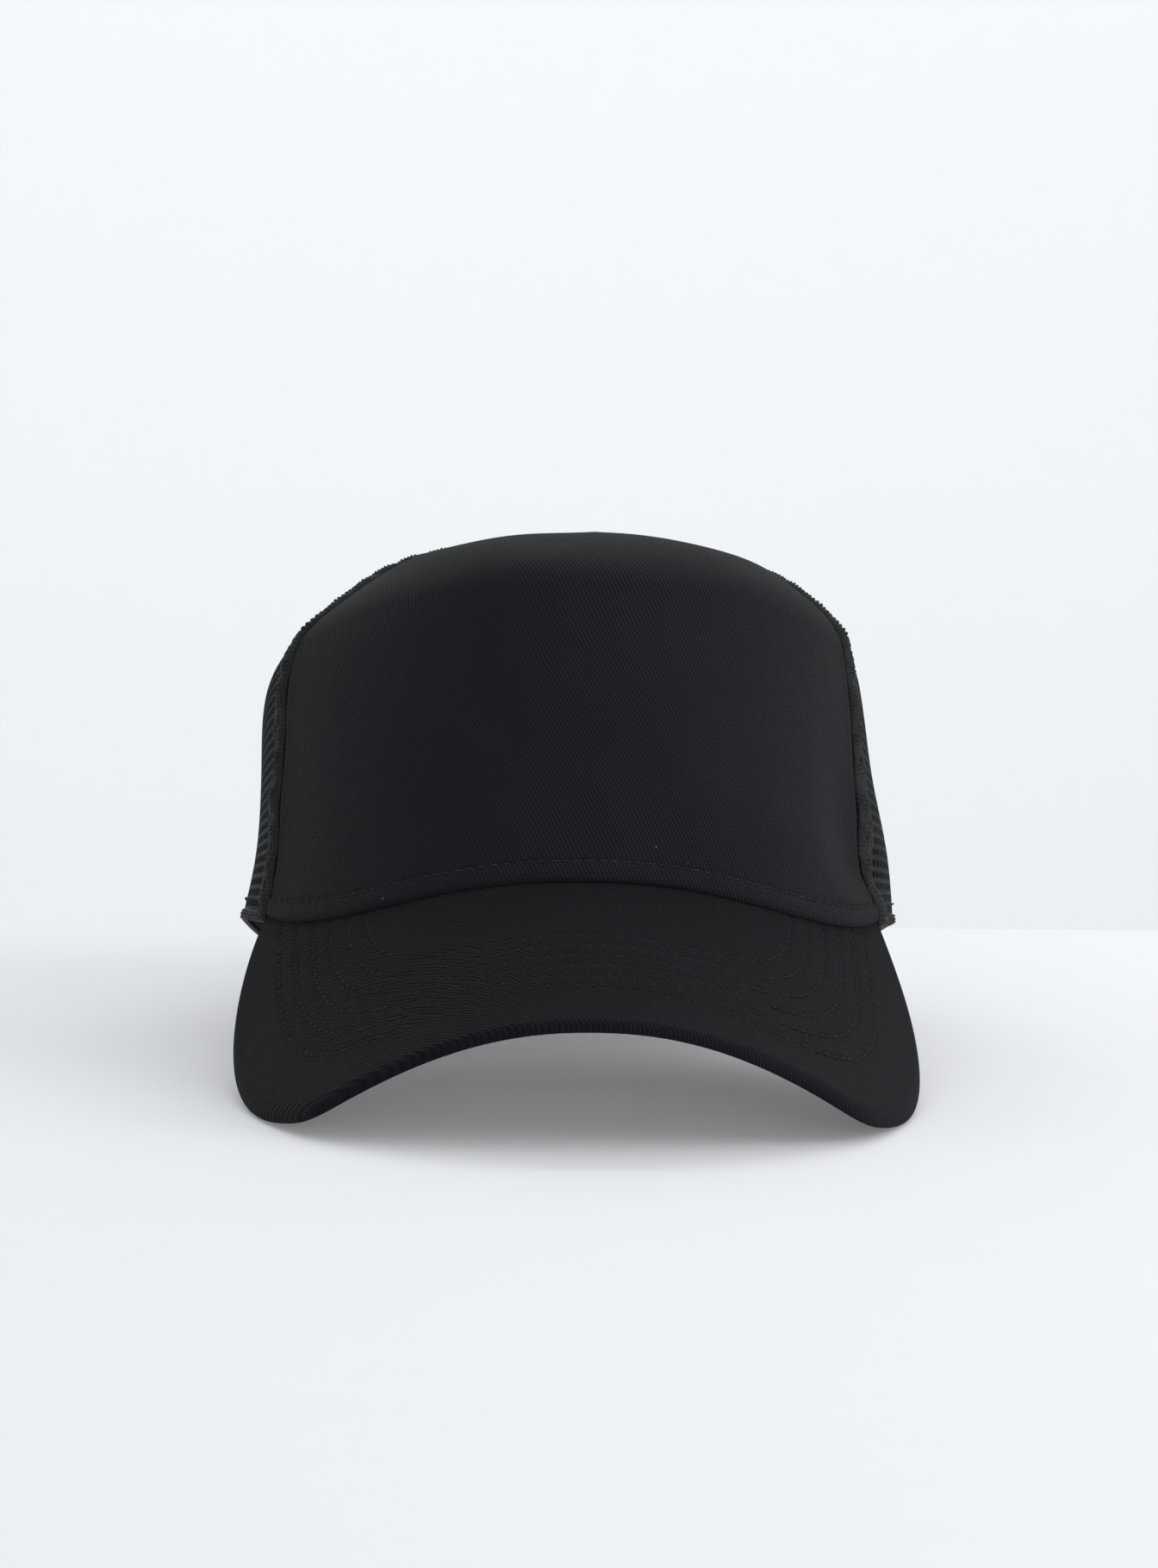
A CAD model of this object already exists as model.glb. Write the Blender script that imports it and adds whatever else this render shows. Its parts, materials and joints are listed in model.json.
import json
from math import acos, asin, atan2, cos, pi, radians, sin, sqrt

import bmesh
import bpy
import numpy as np
from mathutils import Matrix, Vector
from mathutils.geometry import delaunay_2d_cdt


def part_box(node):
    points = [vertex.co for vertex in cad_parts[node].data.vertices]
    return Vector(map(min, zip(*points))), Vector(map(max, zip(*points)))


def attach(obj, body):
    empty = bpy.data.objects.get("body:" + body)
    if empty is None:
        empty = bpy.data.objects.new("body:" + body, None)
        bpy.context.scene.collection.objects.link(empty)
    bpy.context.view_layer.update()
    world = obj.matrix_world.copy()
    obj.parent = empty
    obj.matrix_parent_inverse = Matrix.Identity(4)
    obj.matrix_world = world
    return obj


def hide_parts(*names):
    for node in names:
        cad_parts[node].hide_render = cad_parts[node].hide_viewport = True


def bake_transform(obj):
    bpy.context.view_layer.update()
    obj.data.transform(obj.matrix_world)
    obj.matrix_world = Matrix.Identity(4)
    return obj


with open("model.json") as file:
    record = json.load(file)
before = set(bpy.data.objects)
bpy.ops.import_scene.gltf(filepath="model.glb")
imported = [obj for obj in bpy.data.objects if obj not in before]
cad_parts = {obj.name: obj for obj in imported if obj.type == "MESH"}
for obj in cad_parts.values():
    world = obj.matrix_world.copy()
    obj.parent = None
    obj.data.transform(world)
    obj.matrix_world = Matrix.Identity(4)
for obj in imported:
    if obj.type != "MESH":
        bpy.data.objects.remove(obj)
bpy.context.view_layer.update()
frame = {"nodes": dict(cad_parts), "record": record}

# Shapes are worked out in millimetres in the band frame: the head opening is z = 0, -Y is the front,
# +X the wearer's left.  Angles t run round the opening from 0 at the front to pi at the back.

# ---- driving sizes, as in the CAD part ----
HALF_WIDTH, HALF_LENGTH, CROWN_HEIGHT = 88.2, 98.2, 106.5
FRONT_SHOULDER, REAR_SHOULDER, SIDE_SHOULDER = 80.0, 20.0, 12.9
CROWN_TAPER, SIDE_TAPER, CROWN_LEAN = 0.081, 0.085, -1.5
SEAM, BACK_SEAM = radians(66.5), radians(123.0)
TOP_HOLE, REAR_DIP, SIDE_RISE, SIDE_RISE_SHAPE = 3.0, 2.64, 6.5, 0.75
TWILL, MESH, BACKING, TAPE, TAPE_WIDTH, TAPE_GAP = 0.6, 1.0, 1.2, 0.7, 12.0, 0.25
LAYER_GAP, PADDING, SWEATBAND = 0.12, 1.0, 1.0
SWEATBAND_DEPTH, SWEATBAND_HEIGHT, SWEATBAND_LIFT, SWEATBAND_END = 3.4, 30.0, 0.6, 4
PANEL_LIFT, PADDED_ANGLE, LABEL_ANGLE = 1.0, radians(58), radians(140)
BRIM_REACH, BRIM_START, BRIM_FALL = 63.9, 2.1, 0.648
BRIM_CURVE_POWER, BRIM_FLATTENING = 2.127, 0.00226
CORNER_X, CORNER_Y, CORNER_RADIUS, SIDE_RADIUS = 44.8, -117.5, 30.6, 112.0
BRIM_THICKNESS, SEAM_ALLOWANCE = 2.9, 2.4
BOARD_TOP, BOARD_UNDER = 0.62, 2.38    # depths at which the cloth meets the board
OPENING_HALF_WIDTH, OPENING_HEIGHT, BINDING_WIDTH = 46.0, 50.0, 7.0
OPENING_CORNER = pi - asin(OPENING_HALF_WIDTH / HALF_WIDTH)

rng = np.random.default_rng(7)

# ---- from the band frame to the row's frame ----
opening = next(m for m in frame["record"]["mounts"] if m["name"] == "head_opening")
ORIGIN = np.array(opening["pos_m"])
TILT = atan2(-opening["axis"][1], -opening["axis"][2])


def smooth(x):
    x = np.clip(x, 0, 1)
    return x * x * (3 - 2 * x)


def bump(x, width):
    return np.exp(-(x / width) ** 2)


def unit(v):
    return v / np.linalg.norm(v, axis=-1, keepdims=True)


def settle(p):
    """The cloth's own unevenness: sideways shifts in mm, each strongest at one height or place."""
    x, y, z = p[..., 0], p[..., 1], p[..., 2]
    # the crown sways a little from side to side as it rises
    x = x + 2.0 * bump(z - 22, 20) - 0.4 * bump(z - 62, 12) + 0.9 * bump(z - 84, 9)
    # its shoulders lean towards the wearer's left, the right one from lower down
    right = smooth((-x - 15) / 30)
    x = x + 4.6 * bump(z - 98, 7) * bump(x, 90) * (1 - 0.9 * right) + 4.6 * bump(z - 90, 11) * right
    x = x - 1.3 * bump(z - 95, 16) * smooth((x - 15) / 30)
    # the left front seam is drawn in above the brim
    x = x - 5.5 * bump(z - 22, 22) * bump(y + 45, 16) * smooth((x - 50) / 20) * smooth((z - 1) / 14)
    # both sides bulge at mid height and beside the front seams
    wide = 1.4 * bump(z - 63, 16) + 1.4 * bump(z - 30, 13) * bump(y + 38, 12)
    x = x + np.sign(x) * wide * smooth((np.abs(x) - 55) / 25)
    return np.stack([x, y, z], -1)


def place(p):
    """Band frame in millimetres to the row's frame in metres."""
    p = settle(np.asarray(p, float)) / 1000
    y = p[..., 1] * cos(TILT) + p[..., 2] * sin(TILT)
    z = p[..., 2] * cos(TILT) - p[..., 1] * sin(TILT)
    return np.stack([p[..., 0], y, z], -1) + ORIGIN


# ---- the crown and brim surfaces ----
SEAM_X, SEAM_Y = HALF_WIDTH * sin(SEAM), -HALF_LENGTH * cos(SEAM)


def brim_height(x, y):
    """Height of the brim's top: it falls forward and arches down to both sides."""
    arch = (BRIM_START + BRIM_FALL * (SEAM_Y + HALF_LENGTH)) / SEAM_X ** BRIM_CURVE_POWER
    arch = arch * (1 - BRIM_FLATTENING * (y - SEAM_Y))
    return BRIM_START + BRIM_FALL * (y + HALF_LENGTH) - arch * np.abs(x) ** BRIM_CURVE_POWER


def lower_edge(t):
    """Height of the crown's lower edge: the brim's arch in front, a curved rim behind."""
    t = np.abs(t)
    part = np.clip((t - SEAM) / (OPENING_CORNER - SEAM), 0, 1)
    side = SIDE_RISE * np.sin(pi * part ** SIDE_RISE_SHAPE) ** 2 - REAR_DIP * smooth(part)
    front = brim_height(HALF_WIDTH * np.sin(t), -HALF_LENGTH * np.cos(t))
    return np.where(t < SEAM, front, side)


def shoulder(t):
    """Height at which the crown begins to round over to its top."""
    front = (1 + np.cos(t)) / 2
    return REAR_SHOULDER + (FRONT_SHOULDER - REAR_SHOULDER) * front + SIDE_SHOULDER * np.sin(t) ** 2


def outer_skin(t, s):
    """Crown's outer surface: s is 0 at the edge, 1 at the shoulder and 2 at the top."""
    low = lower_edge(t)
    rounding = np.maximum(s - 1, 0) * pi / 2
    z = low + (shoulder(t) - low) * np.minimum(s, 1) + (CROWN_HEIGHT - shoulder(t)) * np.sin(rounding)
    taper = CROWN_TAPER + SIDE_TAPER * np.sin(t) ** 2
    r = (1 - taper * z / CROWN_HEIGHT) * np.cos(rounding)
    lean = CROWN_LEAN * (z / CROWN_HEIGHT) ** 2
    return np.stack([r * HALF_WIDTH * np.sin(t), -r * HALF_LENGTH * np.cos(t) + lean, z], -1)


def skin_normal(t, s):
    step = 1e-4
    along = outer_skin(t + step, s) - outer_skin(t - step, s)
    up = outer_skin(t, s + step) - outer_skin(t, s - step)
    n = np.cross(along, up)
    return unit(n)


def skin(t, s, depth=0.0):
    """Point of the crown at a depth measured inward."""
    t, s, depth = np.broadcast_arrays(np.asarray(t, float), np.asarray(s, float), depth)
    return outer_skin(t, s) - skin_normal(t, s) * depth[..., None]


def level(t, z):
    """The s that lies at a height."""
    t, z = np.broadcast_arrays(np.asarray(t, float), np.asarray(z, float))
    low, top = lower_edge(t), shoulder(t)
    below = (z - low) / (top - low)
    above = 1 + np.arcsin(np.clip((z - top) / (CROWN_HEIGHT - top), 0, 1)) * 2 / pi
    return np.where(z < top, below, above)


def above_edge(t, rise):
    """The s that lies so many mm above the lower edge."""
    return level(t, lower_edge(t) + rise)


def ring(radius):
    """The s at a mean distance from the crown's axis, near the top."""
    return 1 + acos(radius / ((HALF_WIDTH + HALF_LENGTH) / 2)) * 2 / pi


def at_rise(rise):
    """Bound of a patch: a height above the lower edge."""
    return lambda t: above_edge(t, rise)


def at_level(z):
    """Bound of a patch: a height."""
    return lambda t: level(t, np.full_like(t, z))


def at_ring(radius):
    """Bound of a patch: a ring round the crown's top."""
    return lambda t: np.full_like(t, ring(radius))


def brim_normal(x, y):
    step = 1e-3
    dx = (brim_height(x + step, y) - brim_height(x - step, y)) / (2 * step)
    dy = (brim_height(x, y + step) - brim_height(x, y - step)) / (2 * step)
    n = np.stack([-dx, -dy, np.ones_like(dx)], -1)
    return unit(n)


def brim_point(x, y, depth=0.0):
    """Point straight below the brim's top, at a depth measured square to it."""
    x, y, depth = np.broadcast_arrays(np.asarray(x, float), np.asarray(y, float), depth)
    return np.stack([x, y, brim_height(x, y) - depth / brim_normal(x, y)[..., 2]], -1)


# ---- mesh building ----
def steps_along(p, axis):
    """Length of the path up to each point."""
    d = np.linalg.norm(np.diff(p, axis=axis), axis=-1)
    zero = np.zeros_like(np.take(d, [0], axis=axis))
    return np.concatenate([zero, np.cumsum(d, axis=axis)], axis=axis)


def flat_coordinates(p):
    """Distances on the cloth in mm: across from the middle column, up the middle column."""
    across = steps_along(p, 0)
    middle = p.shape[0] // 2
    across = across - across[middle:middle + 1]
    up = np.broadcast_to(steps_along(p, 1)[middle:middle + 1], across.shape)
    return np.stack([across, up], -1)


def show(thing):
    bpy.context.scene.collection.objects.link(thing)


def make_object(name, points, faces, material, body="root", slot=None, uv=None):
    """Mesh object from points in the row's frame; uv is given per vertex, in mm on the cloth."""
    mesh = bpy.data.meshes.new(name)
    mesh.from_pydata(points.tolist(), [], faces)
    shape = bmesh.new()
    shape.from_mesh(mesh)
    bmesh.ops.recalc_face_normals(shape, faces=shape.faces)
    shape.to_mesh(mesh)
    shape.free()
    mesh.polygons.foreach_set("use_smooth", np.ones(len(mesh.polygons), bool))
    if uv is not None:
        layer = mesh.uv_layers.new(name="cloth")
        loops = np.zeros(len(mesh.loops), np.int32)
        mesh.loops.foreach_get("vertex_index", loops)
        layer.data.foreach_set("uv", uv[loops].astype(np.float32).ravel())
    mesh.materials.append(material)
    mesh.validate()
    piece = bpy.data.objects.new(name, mesh)
    show(piece)
    if body:
        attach(piece, body)
    return piece


def grid_quads(columns, rows, start=0, flip=False, wrap=False):
    i = np.arange(columns if wrap else columns - 1)[:, None]
    j = np.arange(rows - 1)[None, :]
    after = (i + 1) % columns
    a, b = i * rows + j, after * rows + j
    quad = [a, b, b + 1, a + 1]
    if flip:
        quad = quad[::-1]
    return (np.stack(np.broadcast_arrays(*quad), -1).reshape(-1, 4) + start).tolist()


def slab(name, outer, inner, material, uv=None, **options):
    """Closed cloth between two grids of points, outer and inner, in the band frame."""
    columns, rows = outer.shape[:2]
    count = columns * rows
    faces = grid_quads(columns, rows) + grid_quads(columns, rows, count, flip=True)
    ids = np.arange(count).reshape(columns, rows)
    rim = np.concatenate([ids[:, 0], ids[-1, 1:], ids[-2::-1, -1], ids[0, -2:0:-1]])
    after = np.roll(rim, -1)
    faces += np.stack([after, rim, rim + count, after + count], -1).tolist()
    points = np.concatenate([outer.reshape(-1, 3), inner.reshape(-1, 3)])
    uv = flat_coordinates(outer) if uv is None else uv
    uv = np.concatenate([uv.reshape(-1, 2)] * 2)
    return make_object(name, place(points), faces, material, uv=uv, **options)


def crown_grid(t_from, t_to, low, high, columns, rows):
    """Arrays t and s over a patch of the crown; low and high give s for an array of angles."""
    t = np.linspace(t_from, t_to, columns)[:, None]
    part = np.linspace(0, 1, rows)[None, :]
    s = low(t) + (high(t) - low(t)) * part
    return np.broadcast_to(t, s.shape), s


# ---- materials ----
class Nodes:
    """Short names for building a material's nodes."""

    def __init__(self, name, **shader):
        self.material = bpy.data.materials.new(name)
        self.material.use_nodes = True
        self.tree = self.material.node_tree
        self.shader = self.tree.nodes["Principled BSDF"]
        for socket, value in shader.items():
            self.shader.inputs[socket.replace("_", " ")].default_value = value

    def node(self, kind, **values):
        made = self.tree.nodes.new(kind)
        for key, value in values.items():
            setattr(made, key, value)
        return made

    def link(self, value, socket):
        if isinstance(value, bpy.types.NodeSocket):
            self.tree.links.new(value, socket)
        else:
            socket.default_value = value

    def into(self, socket, value):
        self.link(value, self.shader.inputs[socket])

    def math(self, operation, *values):
        made = self.node("ShaderNodeMath", operation=operation)
        for value, socket in zip(values, made.inputs):
            self.link(value, socket)
        return made.outputs[0]

    def add(self, first, second):
        return self.math("ADD", first, second)

    def minus(self, first, second):
        return self.math("SUBTRACT", first, second)

    def times(self, first, second):
        return self.math("MULTIPLY", first, second)

    def flat(self):
        """The two distances on the cloth, in mm."""
        uv = self.node("ShaderNodeUVMap", uv_map="cloth").outputs[0]
        parts = self.node("ShaderNodeSeparateXYZ")
        self.link(uv, parts.inputs[0])
        return uv, parts.outputs[0], parts.outputs[1]

    def place(self):
        return self.node("ShaderNodeTexCoord").outputs["Object"]

    def noise(self, where, scale, detail=2.0, roughness=0.5):
        made = self.node("ShaderNodeTexNoise")
        self.link(where, made.inputs["Vector"])
        made.inputs["Scale"].default_value = scale
        made.inputs["Detail"].default_value = detail
        made.inputs["Roughness"].default_value = roughness
        return made.outputs["Fac"]

    def ramp(self, value, low, high, dark=0.0, light=1.0):
        made = self.node("ShaderNodeMapRange")
        made.clamp = True
        for v, socket in zip((value, low, high, dark, light), made.inputs):
            self.link(v, socket)
        return made.outputs[0]

    def colour(self, value, dark, light):
        return self.mix(value, (*dark, 1), (*light, 1))

    def mix(self, value, first, second):
        made = self.node("ShaderNodeMix", data_type="RGBA")
        self.link(value, made.inputs["Factor"])
        self.link(first, made.inputs["A"])
        self.link(second, made.inputs["B"])
        return made.outputs["Result"]

    def bump(self, height, distance, strength=1.0, below=None):
        made = self.node("ShaderNodeBump")
        made.inputs["Strength"].default_value = strength
        made.inputs["Distance"].default_value = distance
        self.link(height, made.inputs["Height"])
        if below is not None:
            self.link(below, made.inputs["Normal"])
        return made.outputs["Normal"]


def lint(n, where, colour, per_mm=0.11, size=0.035, share=0.86):
    """Sparse pale specks of lint on dark cloth."""
    cells = n.node("ShaderNodeTexVoronoi")
    n.link(where, cells.inputs["Vector"])
    cells.inputs["Scale"].default_value = per_mm
    near = n.math("LESS_THAN", cells.outputs["Distance"], size)
    pick = n.node("ShaderNodeSeparateXYZ")
    n.link(cells.outputs["Color"], pick.inputs[0])
    chosen = n.math("GREATER_THAN", pick.outputs[0], share)
    speck = n.times(near, chosen)
    return n.mix(n.times(speck, 0.25), colour, (0.20, 0.20, 0.22, 1))


def twill_material(name, dark, light, lean=62.0, pitch=0.84, linty=0.86, gloss=0.16):
    """Cotton twill: slanting wales made of short floats, over yarn noise and faint wear."""
    n = Nodes(name, Roughness=0.85, Specular_IOR_Level=gloss, Sheen_Weight=0.02, Sheen_Roughness=0.5)
    uv, u, v = n.flat()
    angle = radians(lean)
    across = n.add(n.times(u, sin(angle)), n.times(v, cos(angle)))
    along = n.minus(n.times(v, sin(angle)), n.times(u, cos(angle)))
    waver = n.times(n.noise(uv, 0.35, 2.0), 0.5)
    wale = n.math("DIVIDE", n.add(across, waver), pitch)
    inside = n.math("ABSOLUTE", n.minus(n.math("FRACT", wale), 0.5))
    ridge = n.minus(1.0, n.math("POWER", n.times(inside, 2.0), 2.0))
    shift = n.times(n.math("FLOOR", wale), 0.37)
    part = n.math("FRACT", n.add(n.math("DIVIDE", along, 1.15), shift))
    nick = n.math("POWER", n.times(n.math("ABSOLUTE", n.minus(part, 0.5)), 2.0), 4.0)
    thread = n.times(ridge, n.minus(1.0, n.times(nick, 0.5)))
    fuzz = n.noise(uv, 2.2, 3.0, 0.65)
    wear = n.noise(n.place(), 28.0, 3.0, 0.6)
    tone = n.add(n.times(thread, 0.72), n.times(fuzz, 0.36))
    tone = n.times(tone, n.ramp(wear, 0.3, 0.7, 0.75, 1.2))
    colour = lint(n, uv, n.colour(tone, dark, light), share=linty)
    n.into("Base Color", colour)
    fine = n.bump(thread, 0.00030, 1.0)
    n.into("Normal", n.bump(fuzz, 0.00008, 0.3, below=fine))
    return n.material


def knit_material(name, dark, light, loop=0.62, even=0.4):
    """Polyester knit: yarn loops as fine ribs both ways."""
    n = Nodes(name, Roughness=0.5, Specular_IOR_Level=0.2)
    uv, u, v = n.flat()
    turn = 2 * pi / loop
    rib = n.math("SINE", n.times(n.add(v, n.times(u, 0.55)), turn))
    rib2 = n.math("SINE", n.times(n.minus(v, n.times(u, 0.55)), turn))
    loops = n.times(n.add(n.math("MAXIMUM", rib, rib2), 1.0), 0.5)
    fuzz = n.noise(uv, 3.0, 3.0, 0.6)
    tone = n.add(n.times(loops, 1 - even), n.times(fuzz, even))
    n.into("Base Color", n.colour(tone, dark, light))
    n.into("Normal", n.bump(n.add(loops, fuzz), 0.00018, 0.7))
    return n.material


def woven_material(name, dark, light, pitch=0.5, roughness=0.85):
    """Plain weave, for tapes, lining and label."""
    n = Nodes(name, Roughness=roughness, Specular_IOR_Level=0.3, Sheen_Weight=0.15)
    uv, u, v = n.flat()
    turn = pi / pitch
    weft = n.math("ABSOLUTE", n.math("SINE", n.times(u, turn)))
    warp = n.math("ABSOLUTE", n.math("SINE", n.times(v, turn)))
    weave = n.times(weft, warp)
    fuzz = n.noise(uv, 2.5, 3.0, 0.6)
    tone = n.add(n.times(weave, 0.55), n.times(fuzz, 0.45))
    n.into("Base Color", n.colour(tone, dark, light))
    n.into("Normal", n.bump(n.add(weave, n.times(fuzz, 0.5)), 0.00014, 0.6))
    return n.material


def thread_material(name, dark, light):
    """Twisted sewing thread: slanting plies over a little fuzz."""
    n = Nodes(name, Roughness=0.7, Specular_IOR_Level=0.2)
    where = n.place()
    fuzz = n.noise(where, 2600.0, 2.0)
    blotch = n.noise(where, 160.0, 2.0)
    n.into("Base Color", n.colour(n.times(fuzz, n.ramp(blotch, 0.35, 0.65, 0.6, 1.4)), dark, light))
    n.into("Normal", n.bump(fuzz, 0.00008, 0.6))
    return n.material


def plastic_material(name, dark, light, roughness=0.38):
    """Moulded plastic with a faint spark-eroded grain and rubbed patches."""
    n = Nodes(name, Specular_IOR_Level=0.5)
    where = n.place()
    grain = n.noise(where, 1800.0, 2.0)
    rubbed = n.noise(where, 60.0, 3.0)
    n.into("Base Color", n.colour(rubbed, dark, light))
    n.into("Roughness", n.ramp(rubbed, 0.3, 0.7, roughness - 0.06, roughness + 0.1))
    n.into("Normal", n.bump(grain, 0.00004, 0.5))
    return n.material


def foam_material(name, dark, light):
    """Open foam with fine cells."""
    n = Nodes(name, Roughness=0.95, Sheen_Weight=0.1)
    where = n.place()
    cells = n.node("ShaderNodeTexVoronoi")
    n.link(where, cells.inputs["Vector"])
    cells.inputs["Scale"].default_value = 1400.0
    n.into("Base Color", n.colour(cells.outputs["Distance"], dark, light))
    n.into("Normal", n.bump(cells.outputs["Distance"], 0.0002, 0.6))
    return n.material


def metal_material(name, dark, light):
    """Lacquered metal with scuffs in its sheen."""
    n = Nodes(name, Metallic=0.6, Specular_IOR_Level=0.5)
    scuff = n.noise(n.place(), 420.0, 3.0)
    n.into("Base Color", n.colour(scuff, dark, light))
    n.into("Roughness", n.ramp(scuff, 0.3, 0.7, 0.28, 0.5))
    return n.material


panel_twill = twill_material("panel_twill", (0.0007, 0.0006, 0.0015), (0.0074, 0.0069, 0.0114), lean=62,
                             pitch=0.95)
brim_twill = twill_material("brim_twill", (0.0004, 0.0004, 0.0012), (0.0044, 0.0044, 0.0078), lean=42,
                            pitch=0.95, linty=0.80, gloss=0.09)
trim_twill = twill_material("trim_twill", (0.0012, 0.0012, 0.0018), (0.0085, 0.0082, 0.0110), lean=45,
                            pitch=0.7)
mesh_knit = knit_material("mesh_knit", (0.0002, 0.0002, 0.0004), (0.0030, 0.0030, 0.0044))
seam_knit = knit_material("seam_knit", (0.0001, 0.0001, 0.0002), (0.0062, 0.0062, 0.0086), loop=1.5,
                          even=0.15)
buckram = woven_material("buckram", (0.010, 0.010, 0.011), (0.045, 0.045, 0.048), pitch=1.3)
tape_cloth = woven_material("tape_cloth", (0.006, 0.006, 0.007), (0.026, 0.026, 0.029), pitch=0.45)
band_cloth = twill_material("band_cloth", (0.0050, 0.0050, 0.0060), (0.0200, 0.0200, 0.0230), lean=45,
                            pitch=0.6, linty=0.9)
label_cloth = woven_material("label_cloth", (0.42, 0.42, 0.40), (0.70, 0.70, 0.67), pitch=0.4,
                             roughness=0.6)
black_thread = thread_material("black_thread", (0.0006, 0.0006, 0.0010), (0.0078, 0.0077, 0.0100))
lint_thread = thread_material("lint_thread", (0.0008, 0.0008, 0.0014), (0.0260, 0.0260, 0.0300))
snap_plastic = plastic_material("snap_plastic", (0.008, 0.008, 0.009), (0.016, 0.016, 0.018))
board_plastic = plastic_material("board_plastic", (0.26, 0.26, 0.26), (0.34, 0.34, 0.33), roughness=0.5)
foam = foam_material("foam", (0.02, 0.02, 0.022), (0.07, 0.07, 0.075))
rivet_metal = metal_material("rivet_metal", (0.012, 0.012, 0.013), (0.030, 0.030, 0.032))


# ---- stitches ----
def stitches(name, path, normals, material, pitch=3.4, length=2.9, radius=0.24, lift=0.10, slot="twill"):
    """Lockstitches along a path in the band frame: short threads that dive into the cloth."""
    run = steps_along(path, 0)
    count = max(int(run[-1] / pitch), 1)
    starts = (run[-1] - count * pitch) / 2 + pitch * np.arange(count)
    starts = starts + rng.uniform(-0.12, 0.12, count) * pitch

    def at(distance, values):
        return np.stack([np.interp(distance, run, values[:, k]) for k in range(3)], -1)

    rings, sides = 6, 6
    share = np.linspace(0, 1, rings)
    arch = np.sin(share * pi) ** 0.6
    body = []
    for part, height in zip(share, arch):
        where = starts + part * length
        centre, up = at(where, path), at(where, normals)
        ahead = at(where + 0.2, path) - at(where - 0.2, path)
        ahead = unit(ahead)
        up = unit(up)
        side = np.cross(up, ahead)
        thick = radius * (0.45 + 0.55 * height)
        middle = centre + up * (lift * height - radius * 0.9 * (1 - height))
        for k in range(sides):
            a = 2 * pi * k / sides
            body.append(middle + side * (thick * 1.15 * cos(a)) + up * (thick * sin(a)))
    body = np.array(body).transpose(1, 0, 2)
    points = body.reshape(-1, 3)
    faces = []
    local = []
    for r in range(rings - 1):
        for k in range(sides):
            after = (k + 1) % sides
            local.append((r * sides + k, r * sides + after, (r + 1) * sides + after, (r + 1) * sides + k))
    caps = [tuple(range(sides))[::-1], tuple(range((rings - 1) * sides, rings * sides))]
    for i in range(count):
        base = i * rings * sides
        faces += [tuple(base + q for q in quad) for quad in local]
        faces += [tuple(base + q for q in cap) for cap in caps]
    return make_object(name, place(points), faces, material, slot=slot)


def crown_stitches(name, t, s, material, height=0.0, **options):
    """Stitches along a line on the crown, at a height above its skin."""
    t, s = np.broadcast_arrays(np.asarray(t, float), np.asarray(s, float))
    return stitches(name, skin(t, s, -height), skin_normal(t, s), material, **options)


# ---- front panel ----
FOLD = 5.2                    # from the folded edge to its row of stitches


def front_relief(t, s, height):
    """How far the front panel stands out of the plain skin, in mm."""
    radius = np.linalg.norm(outer_skin(t, s)[..., :2], axis=-1)
    from_seam = (SEAM - np.abs(t)) * np.maximum(radius, 4)
    relief = 0.16 * bump(from_seam - 3.4, 0.9) - 0.9 * (1 - smooth(from_seam / 1.5))
    relief += 0.50 * np.sqrt(np.clip(np.sin(pi * np.clip(height / FOLD, 0, 1)), 0, 1))
    relief -= 0.34 * bump(height - FOLD, 0.5)
    relief -= 0.5 * (1 - smooth(height / 0.9))
    away = smooth(from_seam / 22) * smooth((height - 4) / 25)
    waves = (0.30 * np.sin(3.1 * t + 2.2 * s + 0.7) * np.cos(2.3 * t - 3.7 * s)
             + 0.22 * np.sin(5.3 * t - 4.1 * s + 1.9) + 0.12 * np.sin(9.7 * t + 7.3 * s + 0.4))
    relief += waves * away
    dent = bump(t + 0.12, 0.16) * bump(s - 1.34, 0.16)
    fold = bump(t + 0.03 - 0.35 * (s - 1.4), 0.045) * bump(s - 1.42, 0.2)
    relief += (-0.7 * dent + 0.35 * fold) * away
    pucker = 0.07 * np.sin(t * 88 * 2 * pi / 3.4) * bump(height - FOLD, 1.6)
    return relief + pucker


def make_front_panel():
    """Front panel of twill, with its folded edge and the stitches along it."""
    gap = 0.15 / HALF_LENGTH
    t, s = crown_grid(-SEAM + gap, SEAM - gap, at_rise(PANEL_LIFT),
                      at_ring(TOP_HOLE), 300, 230)
    height = steps_along(outer_skin(t, s), 1)
    out = front_relief(t, s, height)
    outer = skin(t, s, -out)
    inner = skin(t, s, np.full_like(out, TWILL))
    panel = slab("front_panel_cloth", outer, inner, panel_twill, slot="twill")
    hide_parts("front_panel")
    row = np.linspace(-SEAM + 0.03, SEAM - 0.03, 400)
    crown_stitches("front_panel_topstitch", row, above_edge(row, PANEL_LIFT + FOLD), lint_thread,
                   height=0.02, pitch=3.1, length=2.4, radius=0.2)
    return panel


make_front_panel()


# ---- mesh panels ----
ROW_PITCH = 2.45              # rows of holes in the mesh
HOLE_PITCH = 2.5
HOLE_SIDES = 10
NET_TOP = 5.0                 # radius round the crown's top where the mesh ends, under the button
NET_SPANS = 160               # steps of the grid that flattens a panel


def opening_distance(p):
    """Below 1 inside the rear half-moon, above 1 outside it."""
    reach = ((p[..., 2] + REAR_DIP) / OPENING_HEIGHT) ** 2 + (p[..., 0] / OPENING_HALF_WIDTH) ** 2
    return np.where(p[..., 1] > 0, np.sqrt(reach), 9.0)


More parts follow.
